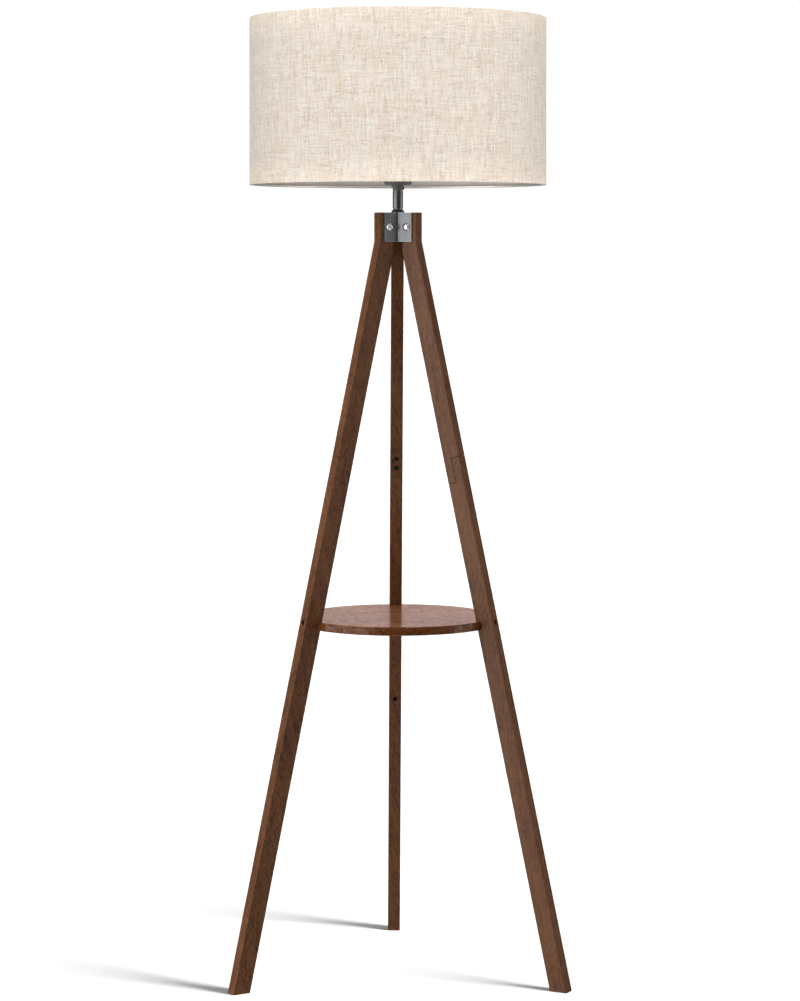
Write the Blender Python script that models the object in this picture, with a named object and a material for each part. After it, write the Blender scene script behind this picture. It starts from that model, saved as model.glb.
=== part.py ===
"""Tripod floor lamp with a drum shade and a round shelf. Metres, +Z up, the lamp's front faces -Y.

Every piece hangs on one empty that stands on the lamp's own axis. The three legs are alike: each has an
empty turned to its own direction, and inside it X runs outwards, Y across the leg and Z up.
"""

import math

import bmesh
import bpy
from mathutils import Matrix, Vector

GAP = 0.0003                    # clearance between pieces that touch

# Legs
LEG_DIRECTIONS = {"left": 210.0, "right": 330.0, "rear": 90.0}
BOLT_HEAD_SIDE = {"left": 1, "right": -1, "rear": 1}
LEG_WIDTH = 0.0188              # across the leg
LEG_DEPTH = 0.0271              # square to its inner and outer faces
LEG_SPLAY = math.radians(12.8)  # from the vertical
LEG_HEAD_OUT = 0.0366           # outer face of the upright head, from the lamp's axis
LEG_HEAD_IN = 0.0125            # inner end of the head
LEG_TOP = 1.1517
LEG_BEND = 1.1080               # height where the outer face starts to splay
ARRIS = 0.0009                  # rounding of the leg's long edges

# Half-lap joint between a leg's two sections, measured down the leg from the bend
LAP_START = 0.330
LAP_LENGTH = 0.038
LAP_SCREWS = (0.3385, 0.3530)
CLIP_HOLE_AT = 0.7338           # blind hole in the rear leg's inner face
CLIP_HOLE_RADIUS = 0.0034
CLIP_HOLE_DEPTH = 0.009

# Shelf
SHELF_TOP = 0.5397
SHELF_THICKNESS = 0.0126
SHELF_RADIUS = 0.1462
SHELF_EDGE = 0.0010
HOUSING_CLEARANCE = 0.0009      # between the inner end of a leg's slot and the leg that leans over it
HOUSING_REACH = 0.04            # how far a slot's cutter runs along the leg, above and below the shelf
SHELF_SCREW_REACH = 0.013       # how far a screw goes into the rim

# Wood screws
SCREW_HEAD_RADIUS = 0.0031
SCREW_HEAD_HEIGHT = 0.0022
SCREW_SHANK_RADIUS = 0.0018
SCREW_SOCKET_RADIUS = 0.0016
SCREW_SOCKET_DEPTH = 0.0013
SCREW_RECESS_RADIUS = 0.0035
LAP_RECESS_DEPTH = 0.0038
SHELF_RECESS_DEPTH = 0.0060

# Bracket that clamps the leg heads
PLATE_THICKNESS = 0.0020
PLATE_END = 0.0298              # how far out a plate reaches along the leg
PLATE_EDGE = 0.0005
HUB_RADIUS = 0.0118
BOLT_RADIUS = 0.0030
BOLT_OUT = 0.0208
BOLT_HEIGHT = 1.1297
BOLT_HEAD_RADIUS = 0.0061
BOLT_HEAD_HEIGHT = 0.0034
BOLT_SOCKET_RADIUS = 0.0023
BOLT_SOCKET_DEPTH = 0.0019
NUT_RADIUS = 0.0058             # to the corners
NUT_HEIGHT = 0.0048

# Stem and the threaded pipe inside it
PIPE_RADIUS = 0.0050
PIPE_BORE = 0.0039
PIPE_BOTTOM = 1.1084
PIPE_TOP = 1.1992
STEM_RADIUS = 0.0079
STEM_BORE = 0.0053
COLLAR_RADIUS = 0.0102
COLLAR_TOP = 1.1561
TRIM_TOP = 1.1580
STEM_TOP = 1.1852
LOCK_NUT_RADIUS = 0.0081
LOCK_NUT_RECESS = 0.0032

# Lamp holder
NECK_RADIUS = 0.0079
NECK_BOTTOM = 1.1855
STEP_BOTTOM = 1.1913
STEP_RADIUS = 0.0097
CAP_BOTTOM = 1.1934
CAP_TOP = 1.1998
CAP_RADIUS = 0.0217
CAP_BORE = 0.0186
CAP_FLOOR = 0.0021
HOLDER_RADIUS = 0.0181
HOLDER_WALL = 0.0020
HOLDER_TOP = 1.2460
LEDGE_HEIGHT = 1.2060
INSULATOR_HEIGHT = 0.0100
SHELL_RADIUS = 0.0145           # screw shell that takes the bulb's cap
SHELL_WALL = 0.0006
SHELL_TOP = 1.2430
SET_SCREW_HEIGHT = 1.1884

# Bulb, standard medium screw cap and a 60 mm globe
BULB_CAP_RADIUS = 0.0130
THREAD_PITCH = 0.0036
THREAD_DEPTH = 0.0009
THREAD_TURNS = 5
BULB_TIP = 1.2182
BULB_CAP_BOTTOM = 1.2222
BULB_NECK = 1.2446
GLOBE_RADIUS = 0.0300
GLOBE_CENTRE = 1.2960
GLASS = 0.0009

# Shade
SHADE_RADIUS = 0.2250
SHADE_BOTTOM = 1.1935
SHADE_TOP = 1.4459
FABRIC = 0.0005
LINER = 0.0005
WIRE_RADIUS = 0.0020
ARM_RADIUS = 0.0016
ARM_OVERLAP = 0.0010
SHADE_ARMS = (90.0, 210.0, 330.0)
FITTER_RADIUS = 0.0262
FITTER_BORE = 0.0186
FITTER_THICKNESS = 0.0016
RING_NUT_RADIUS = 0.0242
RING_NUT_HEIGHT = 0.0055
RING_NUT_FLUTES = 16

# The overall box is centred on the origin: the rear foot reaches further back than the shade does forwards.
FOOT_OUT = LEG_HEAD_OUT + LEG_BEND * math.tan(LEG_SPLAY)
AXIS_Y = (SHADE_RADIUS - FOOT_OUT) / 2

DOWN_LEG = Vector((math.sin(LEG_SPLAY), 0, -math.cos(LEG_SPLAY)))
OUT_OF_LEG = Vector((math.cos(LEG_SPLAY), 0, math.sin(LEG_SPLAY)))
BEND_POINT = Vector((LEG_HEAD_OUT, 0, LEG_BEND))

MATERIALS = {
    # name: (colour, metallic, roughness)
    "walnut": ((0.115, 0.058, 0.036), 0.0, 0.42),
    "brushed_steel": ((0.36, 0.37, 0.38), 1.0, 0.38),
    "chrome": ((0.72, 0.72, 0.73), 1.0, 0.12),
    "black_nickel": ((0.06, 0.06, 0.065), 1.0, 0.22),
    "zinc": ((0.50, 0.50, 0.51), 1.0, 0.35),
    "screw_black": ((0.03, 0.03, 0.03), 1.0, 0.40),
    "linen": ((0.84, 0.75, 0.64), 0.0, 0.90),
    "liner": ((0.62, 0.58, 0.53), 0.0, 0.55),
    "black_plastic": ((0.02, 0.02, 0.022), 0.0, 0.30),
    "porcelain": ((0.80, 0.78, 0.74), 0.0, 0.25),
    "brass": ((0.60, 0.42, 0.16), 1.0, 0.30),
    "aluminium": ((0.62, 0.62, 0.63), 1.0, 0.32),
    "frosted_glass": ((0.86, 0.86, 0.85), 0.0, 0.30),
}


# ---------------------------------------------------------------- helpers

def clear_scene():
    for obj in list(bpy.data.objects):
        bpy.data.objects.remove(obj, do_unlink=True)


def make_material(name):
    colour, metallic, roughness = MATERIALS[name]
    material = bpy.data.materials.new(name)
    material.use_nodes = True
    surface = material.node_tree.nodes["Principled BSDF"]
    surface.inputs["Base Color"].default_value = (*colour, 1.0)
    surface.inputs["Metallic"].default_value = metallic
    surface.inputs["Roughness"].default_value = roughness
    return material


def make_empty(name, parent=None, turn=0.0, location=(0, 0, 0)):
    empty = bpy.data.objects.new(name, None)
    bpy.context.collection.objects.link(empty)
    empty.parent = parent
    empty.location = location
    empty.rotation_euler = (0, 0, math.radians(turn))
    return empty


def place(name, mesh, parent, location=(0, 0, 0), rotation=None):
    obj = bpy.data.objects.new(name, mesh)
    bpy.context.collection.objects.link(obj)
    obj.parent = parent
    obj.location = location
    if rotation is not None:
        obj.rotation_euler = rotation.to_euler()
    return obj


def to_mesh(name, bm, material=None):
    """The bmesh as an outward-facing mesh, smooth on round stretches and sharp on real edges."""
    bmesh.ops.recalc_face_normals(bm, faces=bm.faces)
    mesh = bpy.data.meshes.new(name)
    bm.to_mesh(mesh)
    bm.free()
    mesh.shade_smooth()
    mesh.set_sharp_from_angle(angle=math.radians(35))
    if material:
        mesh.materials.append(bpy.data.materials[material])
    return mesh


def make_cutter(name, mesh, parent, location=(0, 0, 0), rotation=None):
    cutter = place(name, mesh, parent, location, rotation)
    cutter.hide_render = True
    cutter.display_type = "WIRE"
    return cutter


def cut(obj, cutter, operation="DIFFERENCE"):
    boolean = obj.modifiers.new(cutter.name, "BOOLEAN")
    boolean.operation = operation
    boolean.solver = "EXACT"
    boolean.object = cutter


def turned(profile, segments, closed=True):
    """A profile of (radius, height) points turned about Z. An open one starts and ends on the axis."""
    bm = bmesh.new()
    points = [bm.verts.new((radius, 0, height)) for radius, height in profile]
    ends = points[1:] + points[:1] if closed else points[1:]
    edges = [bm.edges.new(pair) for pair in zip(points, ends)]
    bmesh.ops.spin(
        bm, geom=points + edges, cent=(0, 0, 0), axis=(0, 0, 1),
        angle=math.tau, steps=segments, use_merge=True)
    bmesh.ops.remove_doubles(bm, verts=bm.verts, dist=1e-6)
    return bm


def make_hexagonal(bm, radius):
    """Moves every vertex at this radius onto a hexagon whose corners lie at that radius."""
    for vertex in bm.verts:
        if abs(vertex.co.xy.length - radius) < 1e-5:
            turn = math.atan2(vertex.co.y, vertex.co.x) % math.radians(60) - math.radians(30)
            scale = math.cos(math.radians(30)) / math.cos(turn)
            vertex.co.x *= scale
            vertex.co.y *= scale


def ring(inner, outer, bottom, top, edge=0.0):
    """The profile of a flat ring, with its outer edges chamfered."""
    if not edge:
        return [(inner, bottom), (outer, bottom), (outer, top), (inner, top)]
    return [
        (inner, bottom), (outer - edge, bottom), (outer, bottom + edge),
        (outer, top - edge), (outer - edge, top), (inner, top)]


def cylinder(radius, bottom, top, segments):
    return turned([(0, bottom), (radius, bottom), (radius, top), (0, top)], segments, closed=False)


def prism(outline, width, soft_edges, rounding):
    """An outline of (x, z) points made `width` thick in Y. soft_edges are the outline's rounded sides."""
    bm = bmesh.new()
    near = [bm.verts.new((x, -width / 2, z)) for x, z in outline]
    far = [bm.verts.new((x, width / 2, z)) for x, z in outline]
    bm.faces.new(near)
    bm.faces.new(far)
    count = len(outline)
    for i in range(count):
        j = (i + 1) % count
        bm.faces.new((near[i], near[j], far[j], far[i]))
    rounded = []
    for i in soft_edges:
        j = (i + 1) % count
        rounded.append(bm.edges.get((near[i], near[j])))
        rounded.append(bm.edges.get((far[i], far[j])))
    bmesh.ops.recalc_face_normals(bm, faces=bm.faces)
    if rounded:
        bmesh.ops.bevel(bm, geom=rounded, offset=rounding, segments=2, profile=0.5, affect="EDGES")
    return bm


def arc(radius, centre, start, stop, steps):
    """Points on an arc in the (radius, height) plane, angles in degrees."""
    turns = [math.radians(start + (stop - start) * i / steps) for i in range(steps + 1)]
    return [(centre[0] + radius * math.cos(t), centre[1] + radius * math.sin(t)) for t in turns]


def on_leg(along, depth):
    """A point `along` down the leg from its bend and `depth` in from its outer face."""
    return BEND_POINT + DOWN_LEG * along - OUT_OF_LEG * depth


def facing(direction):
    """The rotation that turns +Z to `direction`."""
    return Vector(direction).to_track_quat("Z", "Y")


# ---------------------------------------------------------------- fasteners

def wood_screw_mesh(length):
    """A screw along Z: its head's top lies at 0 and its point at -length."""
    tip = 2.2 * SCREW_SHANK_RADIUS
    profile = [
        (0, -SCREW_SOCKET_DEPTH), (SCREW_SOCKET_RADIUS, -SCREW_SOCKET_DEPTH),
        (SCREW_SOCKET_RADIUS, 0), (SCREW_HEAD_RADIUS - 0.0005, 0),
        (SCREW_HEAD_RADIUS, -0.0005), (SCREW_HEAD_RADIUS, -SCREW_HEAD_HEIGHT),
        (SCREW_SHANK_RADIUS, -SCREW_HEAD_HEIGHT), (SCREW_SHANK_RADIUS, tip - length),
        (0, -length)]
    bm = turned(profile, 12, closed=False)
    make_hexagonal(bm, SCREW_SOCKET_RADIUS)
    return to_mesh("wood_screw", bm, "screw_black")


def screw_hole_mesh(recess_depth, length):
    """The cutter for a wood screw's recess and shank hole, with its mouth just outside 0."""
    shank = SCREW_SHANK_RADIUS + GAP
    profile = [
        (0, 0.002), (SCREW_RECESS_RADIUS, 0.002), (SCREW_RECESS_RADIUS, -recess_depth),
        (shank, -recess_depth), (shank, -length - 0.001), (0, -length - 0.001)]
    return to_mesh("screw_hole", turned(profile, 16, closed=False))


def bolt_mesh():
    """A button-head bolt along Z: its head sits on 0 and its thread runs down."""
    head = arc(0.0074, (0, BOLT_HEAD_HEIGHT - 0.0074), 56, 70, 3)
    reach = LEG_WIDTH + 2 * PLATE_THICKNESS + 4 * GAP + NUT_HEIGHT + 0.0016
    profile = [
        (0, BOLT_HEAD_HEIGHT - BOLT_SOCKET_DEPTH),
        (BOLT_SOCKET_RADIUS, BOLT_HEAD_HEIGHT - BOLT_SOCKET_DEPTH),
        (BOLT_SOCKET_RADIUS, BOLT_HEAD_HEIGHT - 0.0004),
        *reversed(head),
        (BOLT_HEAD_RADIUS * 0.86, 0.0016), (BOLT_HEAD_RADIUS, 0.0006), (BOLT_HEAD_RADIUS, 0),
        (BOLT_RADIUS, 0), (BOLT_RADIUS, 0.0008 - reach), (BOLT_RADIUS - 0.0008, -reach), (0, -reach)]
    bm = turned(profile, 18, closed=False)
    make_hexagonal(bm, BOLT_SOCKET_RADIUS)
    return to_mesh("leg_bolt", bm, "chrome")


def nut_mesh(corner_radius, bore, height, material):
    bm = turned(ring(bore, corner_radius, 0, height), 18)
    make_hexagonal(bm, corner_radius)
    return to_mesh("hex_nut", bm, material)


# ---------------------------------------------------------------- legs and shelf

def upper_leg_mesh():
    half = LEG_DEPTH / 2 + GAP / 2
    lap_end = LAP_START + LAP_LENGTH
    inner_end = on_leg(0, LEG_DEPTH)
    meets_head = inner_end + DOWN_LEG * ((LEG_HEAD_IN - inner_end.x) / DOWN_LEG.x)
    corners = [
        (LEG_HEAD_OUT, LEG_TOP), (LEG_HEAD_OUT, LEG_BEND),
        on_leg(LAP_START, 0).xz, on_leg(LAP_START, half).xz,
        on_leg(lap_end, half).xz, on_leg(lap_end, LEG_DEPTH).xz,
        (LEG_HEAD_IN, meets_head.z), (LEG_HEAD_IN, LEG_TOP)]
    return to_mesh("upper_leg", prism(corners, LEG_WIDTH, (0, 1, 5, 6, 7), ARRIS), "walnut")


def lower_leg_mesh():
    half = LEG_DEPTH / 2 - GAP / 2
    start = LAP_START + GAP
    lap_end = LAP_START + LAP_LENGTH + GAP
    outer_foot = FOOT_OUT
    inner_foot = FOOT_OUT - LEG_DEPTH / math.cos(LEG_SPLAY)
    corners = [
        on_leg(start, 0).xz, (outer_foot, 0), (inner_foot, 0),
        on_leg(lap_end, LEG_DEPTH).xz, on_leg(lap_end, half).xz, on_leg(start, half).xz]
    return to_mesh("lower_leg", prism(corners, LEG_WIDTH, (0, 2), ARRIS), "walnut")


def shelf_screw_place():
    """Where a shelf screw enters the leg's outer face, so that it meets the rim at half its height."""
    rim_height = SHELF_TOP - SHELF_THICKNESS / 2
    along = (LEG_BEND - rim_height - LEG_DEPTH * math.sin(LEG_SPLAY)) / math.cos(LEG_SPLAY)
    return on_leg(along, 0)


def make_leg(side, lamp):
    direction = make_empty(f"leg_direction_{side}", lamp, LEG_DIRECTIONS[side])
    upper = place(f"upper_leg_{side}", upper_leg_mesh(), direction)
    lower = place(f"lower_leg_{side}", lower_leg_mesh(), direction)

    bolt_bore = to_mesh("bolt_bore", cylinder(BOLT_RADIUS + GAP, -0.03, 0.03, 16))
    across = facing((0, BOLT_HEAD_SIDE[side], 0))
    bolt_at = Vector((BOLT_OUT, 0, BOLT_HEIGHT))
    bore = make_cutter(f"cut_bolt_{side}", bolt_bore, direction, bolt_at, across)
    cut(upper, bore)

    # Two screws hold the lap, driven from the inner face.
    lap_length = LEG_DEPTH - LAP_RECESS_DEPTH - 0.004
    hole = screw_hole_mesh(LAP_RECESS_DEPTH, LAP_RECESS_DEPTH + lap_length - SCREW_HEAD_HEIGHT)
    inwards = facing(-OUT_OF_LEG)
    for number, along in enumerate(LAP_SCREWS, 1):
        mouth = on_leg(along, LEG_DEPTH)
        cutter = make_cutter(f"cut_lap_{side}_{number}", hole, direction, mouth, inwards)
        cut(upper, cutter)
        cut(lower, cutter)
        head = on_leg(along, LEG_DEPTH - LAP_RECESS_DEPTH + SCREW_HEAD_HEIGHT + GAP)
        place(f"lap_screw_{side}_{number}", wood_screw_mesh(lap_length), direction, head, inwards)

    # One screw holds the shelf's rim, driven from the outer face.
    shelf_length = LEG_DEPTH - SHELF_RECESS_DEPTH + SCREW_HEAD_HEIGHT + SHELF_SCREW_REACH
    outwards = facing(OUT_OF_LEG)
    mouth = shelf_screw_place()
    hole = screw_hole_mesh(SHELF_RECESS_DEPTH, LEG_DEPTH + SHELF_SCREW_REACH)
    shelf_cutter = make_cutter(f"cut_shelf_{side}", hole, direction, mouth, outwards)
    cut(lower, shelf_cutter)
    head = mouth - OUT_OF_LEG * (SHELF_RECESS_DEPTH - SCREW_HEAD_HEIGHT - GAP)
    place(f"shelf_screw_{side}", wood_screw_mesh(shelf_length), direction, head, outwards)

    # One bolt clamps the head between two plates of the bracket.
    outside = LEG_WIDTH / 2 + GAP + PLATE_THICKNESS + GAP
    side_sign = BOLT_HEAD_SIDE[side]
    place(f"leg_bolt_{side}", bolt_mesh(), direction, bolt_at + Vector((0, side_sign * outside, 0)), across)
    nut = nut_mesh(NUT_RADIUS, BOLT_RADIUS + GAP, NUT_HEIGHT, "chrome")
    nut_at = bolt_at - Vector((0, side_sign * outside, 0))
    place(f"leg_nut_{side}", nut, direction, nut_at, facing((0, -side_sign, 0)))

    if side == "rear":
        clip_hole = to_mesh("clip_hole", cylinder(CLIP_HOLE_RADIUS, -CLIP_HOLE_DEPTH, 0.002, 16))
        at = on_leg(CLIP_HOLE_AT, LEG_DEPTH)
        cut(lower, make_cutter("cut_clip_hole", clip_hole, direction, at, inwards))
    return bore, shelf_cutter


def leg_housing_mesh():
    """The cutter for the slot in the shelf's rim that a leg fills."""
    middle = (LEG_BEND - SHELF_TOP) / math.cos(LEG_SPLAY)
    above = middle - HOUSING_REACH
    below = middle + HOUSING_REACH
    inner = LEG_DEPTH + HOUSING_CLEARANCE
    outer = -LEG_DEPTH
    corners = [
        on_leg(above, inner).xz, on_leg(below, inner).xz,
        on_leg(below, outer).xz, on_leg(above, outer).xz]
    return to_mesh("leg_housing", prism(corners, LEG_WIDTH + 2 * GAP, (), 0))


def make_shelf(lamp, screw_cutters):
    bottom = SHELF_TOP - SHELF_THICKNESS
    profile = [
        (0, bottom), (SHELF_RADIUS - SHELF_EDGE, bottom), (SHELF_RADIUS, bottom + SHELF_EDGE),
        (SHELF_RADIUS, SHELF_TOP - SHELF_EDGE), (SHELF_RADIUS - SHELF_EDGE, SHELF_TOP), (0, SHELF_TOP)]
    bm = turned(profile, 96, closed=False)
    shelf = place("shelf", to_mesh("shelf", bm, "walnut"), lamp)
    housing = leg_housing_mesh()
    for side, direction in LEG_DIRECTIONS.items():
        turned_empty = make_empty(f"housing_direction_{side}", lamp, direction)
        cut(shelf, make_cutter(f"cut_housing_{side}", housing, turned_empty))
    for cutter in screw_cutters:
        cut(shelf, cutter)


# ---------------------------------------------------------------- bracket

def bracket_outline():
    """The bracket seen from above: a round hub with two fins along each leg, joined in three V-bent plates."""
    inside = LEG_WIDTH / 2 + GAP
    outside = inside + PLATE_THICKNESS
    valley = outside / math.sin(math.radians(60))
    touch = math.degrees(math.asin(inside / HUB_RADIUS))
    outline = []
    for direction in sorted(LEG_DIRECTIONS.values()):
        turn = Matrix.Rotation(math.radians(direction), 2)
        hub_side = arc(HUB_RADIUS, (0, 0), -touch, touch, 6)
        stretch = [
            (valley * math.cos(math.radians(-60)), valley * math.sin(math.radians(-60))),
            (PLATE_END, -outside), (PLATE_END, -inside), *hub_side,
            (PLATE_END, inside), (PLATE_END, outside)]
        outline += [turn @ Vector(point) for point in stretch]
    return outline


def make_bracket(lamp, bolt_bores):
    bm = bmesh.new()
    base = bm.faces.new([bm.verts.new((x, y, LEG_BEND - 0.0003)) for x, y in bracket_outline()])
    grown = bmesh.ops.extrude_face_region(bm, geom=[base])
    top = [v for v in grown["geom"] if isinstance(v, bmesh.types.BMVert)]
    bmesh.ops.translate(bm, verts=top, vec=(0, 0, LEG_TOP - LEG_BEND + 0.0003))
    bmesh.ops.recalc_face_normals(bm, faces=bm.faces)
    ends = [e for e in bm.edges if min(v.co.xy.length for v in e.verts) > PLATE_END - 0.001]
    bmesh.ops.bevel(bm, geom=ends, offset=PLATE_EDGE, segments=2, profile=0.5, affect="EDGES")
    bracket = place("bracket", to_mesh("bracket", bm, "brushed_steel"), lamp)

    bottom = LEG_BEND - 0.0003
    pipe_hole = [
        (0, bottom - 0.002), (LOCK_NUT_RADIUS + GAP, bottom - 0.002),
        (LOCK_NUT_RADIUS + GAP, bottom + LOCK_NUT_RECESS), (PIPE_RADIUS + GAP, bottom + LOCK_NUT_RECESS),
        (PIPE_RADIUS + GAP, LEG_TOP + 0.002), (0, LEG_TOP + 0.002)]
    cut(bracket, make_cutter("cut_pipe", to_mesh("cut_pipe", turned(pipe_hole, 24, closed=False)), lamp))
    for bore in bolt_bores:
        cut(bracket, bore)
    nut = nut_mesh(LOCK_NUT_RADIUS, PIPE_RADIUS + GAP, LOCK_NUT_RECESS - 2 * GAP, "zinc")
    place("hub_lock_nut", nut, lamp, (0, 0, bottom + GAP))


# ---------------------------------------------------------------- stem and lamp holder

def make_stem(lamp):
    pipe = turned(ring(PIPE_BORE, PIPE_RADIUS, PIPE_BOTTOM, PIPE_TOP, 0.0006), 24)
    place("threaded_pipe", to_mesh("threaded_pipe", pipe, "zinc"), lamp)

    bushing = [
        (0.0028, PIPE_BOTTOM - 0.0013), (0.0044, PIPE_BOTTOM - 0.0013), (0.0048, PIPE_BOTTOM - 0.0008),
        (0.0048, PIPE_BOTTOM - GAP), (PIPE_BORE - GAP, PIPE_BOTTOM - GAP),
        (PIPE_BORE - GAP, PIPE_BOTTOM + 0.006), (0.0028, PIPE_BOTTOM + 0.006)]
    place("cord_bushing", to_mesh("cord_bushing", turned(bushing, 24), "black_plastic"), lamp)

    collar = [
        (STEM_BORE, LEG_TOP + GAP), (COLLAR_RADIUS, LEG_TOP + GAP), (COLLAR_RADIUS, LEG_TOP + 0.0012),
        (COLLAR_RADIUS - 0.0006, LEG_TOP + 0.0018), (STEM_RADIUS + 0.0004, COLLAR_TOP - 0.0004),
        (STEM_RADIUS, COLLAR_TOP), (STEM_BORE, COLLAR_TOP)]
    place("base_collar", to_mesh("base_collar", turned(collar, 32), "black_nickel"), lamp)

    trim = turned(ring(STEM_BORE, STEM_RADIUS - 0.0003, COLLAR_TOP + GAP, TRIM_TOP), 32)
    place("stem_trim_ring", to_mesh("stem_trim_ring", trim, "black_plastic"), lamp)

    tube = turned(ring(STEM_BORE, STEM_RADIUS, TRIM_TOP + GAP, STEM_TOP, 0.0003), 32)
    place("stem_tube", to_mesh("stem_tube", tube, "black_nickel"), lamp)


def make_holder(lamp):
    floor = CAP_BOTTOM + CAP_FLOOR
    cap = [
        (PIPE_RADIUS + GAP, NECK_BOTTOM), (NECK_RADIUS - 0.0003, NECK_BOTTOM),
        (NECK_RADIUS, NECK_BOTTOM + 0.0003), (NECK_RADIUS, STEP_BOTTOM - 0.0008),
        (STEP_RADIUS, STEP_BOTTOM), (STEP_RADIUS, CAP_BOTTOM), (CAP_RADIUS - 0.0042, CAP_BOTTOM),
        *arc(0.0032, (CAP_RADIUS - 0.0042, CAP_BOTTOM + 0.0032), -60, 0, 3),
        (CAP_RADIUS - 0.0010, CAP_TOP - 0.0024), (CAP_RADIUS, CAP_TOP - 0.0020),
        (CAP_RADIUS, CAP_TOP - 0.0003), (CAP_RADIUS - 0.0003, CAP_TOP),
        (CAP_BORE, CAP_TOP), (CAP_BORE, floor), (PIPE_RADIUS + GAP, floor)]
    holder_cap = place("socket_cap", to_mesh("socket_cap", turned(cap, 36), "black_plastic"), lamp)

    # A small screw in the neck locks the cap on the threaded pipe.
    sideways = facing((1, 0, 0))
    at_pipe = Vector((PIPE_RADIUS + GAP, 0, SET_SCREW_HEIGHT))
    hole = to_mesh("set_screw_hole", cylinder(0.0015 + GAP, -0.001, 0.006, 16))
    cut(holder_cap, make_cutter("cut_set_screw", hole, lamp, at_pipe, sideways))
    screw = [
        (0, 0), (0.0015, 0), (0.0015, 0.0031), (0.0021, 0.0031), (0.0021, 0.0041),
        (0.0017, 0.0045), (0.0008, 0.0045), (0.0008, 0.0036), (0, 0.0036)]
    set_screw = turned(screw, 12, closed=False)
    make_hexagonal(set_screw, 0.0008)
    place("cap_set_screw", to_mesh("cap_set_screw", set_screw, "screw_black"), lamp, at_pipe, sideways)

    nut = nut_mesh(LOCK_NUT_RADIUS, PIPE_RADIUS + GAP, 0.0024, "zinc")
    place("cap_lock_nut", nut, lamp, (0, 0, floor + GAP))

    inner = HOLDER_RADIUS - HOLDER_WALL
    body = [
        (inner, floor + GAP), (HOLDER_RADIUS, floor + GAP), (HOLDER_RADIUS, HOLDER_TOP - 0.001),
        (HOLDER_RADIUS - 0.001, HOLDER_TOP), (inner, HOLDER_TOP),
        (inner, LEDGE_HEIGHT), (inner - 0.002, LEDGE_HEIGHT), (inner - 0.002, LEDGE_HEIGHT - 0.002),
        (inner, LEDGE_HEIGHT - 0.002)]
    place("socket_body", to_mesh("socket_body", turned(body, 32), "black_plastic"), lamp)

    insulator_bottom = LEDGE_HEIGHT + GAP
    insulator_top = insulator_bottom + INSULATOR_HEIGHT
    insulator = ring(0.0018, inner - GAP, insulator_bottom, insulator_top, 0.0008)
    place("socket_insulator", to_mesh("socket_insulator", turned(insulator, 24), "porcelain"), lamp)

    shell_bottom = insulator_top + GAP
    shell = [
        (SHELL_RADIUS - 0.0045, shell_bottom), (SHELL_RADIUS, shell_bottom),
        (SHELL_RADIUS, SHELL_TOP), (SHELL_RADIUS - SHELL_WALL, SHELL_TOP),
        (SHELL_RADIUS - SHELL_WALL, shell_bottom + SHELL_WALL),
        (SHELL_RADIUS - 0.0045, shell_bottom + SHELL_WALL)]
    place("socket_screw_shell", to_mesh("socket_screw_shell", turned(shell, 28), "brass"), lamp)

    contact = [
        (0, shell_bottom - 0.008), (0.0013, shell_bottom - 0.008), (0.0013, shell_bottom),
        (0.0040, shell_bottom), (0.0040, shell_bottom + 0.0009), (0, shell_bottom + 0.0014)]
    place("socket_contact", to_mesh("socket_contact", turned(contact, 16, closed=False), "brass"), lamp)


def make_bulb(lamp):
    tip = [
        (0, BULB_TIP), (0.0034, BULB_TIP + 0.0005), (0.0044, BULB_TIP + 0.0013),
        (0.0044, BULB_TIP + 0.0018), (0, BULB_TIP + 0.0018)]
    place("bulb_tip_contact", to_mesh("bulb_tip_contact", turned(tip, 16, closed=False), "brass"), lamp)

    base = [
        (0, BULB_TIP + 0.0018 + GAP), (0.0050, BULB_TIP + 0.0018 + GAP),
        (0.0100, BULB_CAP_BOTTOM - GAP), (0, BULB_CAP_BOTTOM - GAP)]
    place("bulb_insulator", to_mesh("bulb_insulator", turned(base, 24, closed=False), "black_plastic"), lamp)

    crest = BULB_CAP_RADIUS
    root = BULB_CAP_RADIUS - THREAD_DEPTH
    outside = [(0.0104, BULB_CAP_BOTTOM)]
    for number in range(THREAD_TURNS):
        low = BULB_CAP_BOTTOM + 0.0008 + number * THREAD_PITCH
        outside += [(root, low), (crest, low + THREAD_PITCH * 0.5)]
    top = BULB_NECK - GAP
    outside += [(root, top - 0.0016), (crest - 0.0002, top)]
    inside = [(radius - 0.0006, height) for radius, height in reversed(outside[1:-1])]
    cap = [*outside, (crest - 0.0008, top), *inside, (0.0098, BULB_CAP_BOTTOM + 0.0006), (0.0098, BULB_CAP_BOTTOM)]
    place("bulb_cap", to_mesh("bulb_cap", turned(cap, 24), "aluminium"), lamp)

    neck_radius = BULB_CAP_RADIUS - 0.0004
    shoulder = arc(GLOBE_RADIUS, (0, GLOBE_CENTRE), -42, 90, 11)
    outer = [(neck_radius, BULB_NECK), (neck_radius + 0.0016, BULB_NECK + 0.012), *shoulder]
    centre = Vector((0, GLOBE_CENTRE))
    inner = [(neck_radius - GLASS, BULB_NECK), (neck_radius + 0.0016 - GLASS, BULB_NECK + 0.012)]
    for point in shoulder:
        spoke = Vector(point) - centre
        inner.append(tuple(centre + spoke * (1 - GLASS / GLOBE_RADIUS)))
    outer[-1] = (0, outer[-1][1])
    inner[-1] = (0, inner[-1][1])
    globe = turned(list(reversed(inner)) + outer, 28, closed=False)
    place("bulb_globe", to_mesh("bulb_globe", globe, "frosted_glass"), lamp)


# ---------------------------------------------------------------- shade

def wire_ring(radius, height):
    wire = arc(WIRE_RADIUS, (radius, height), 0, 360, 8)[:-1]
    return turned(wire, 72)


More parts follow.
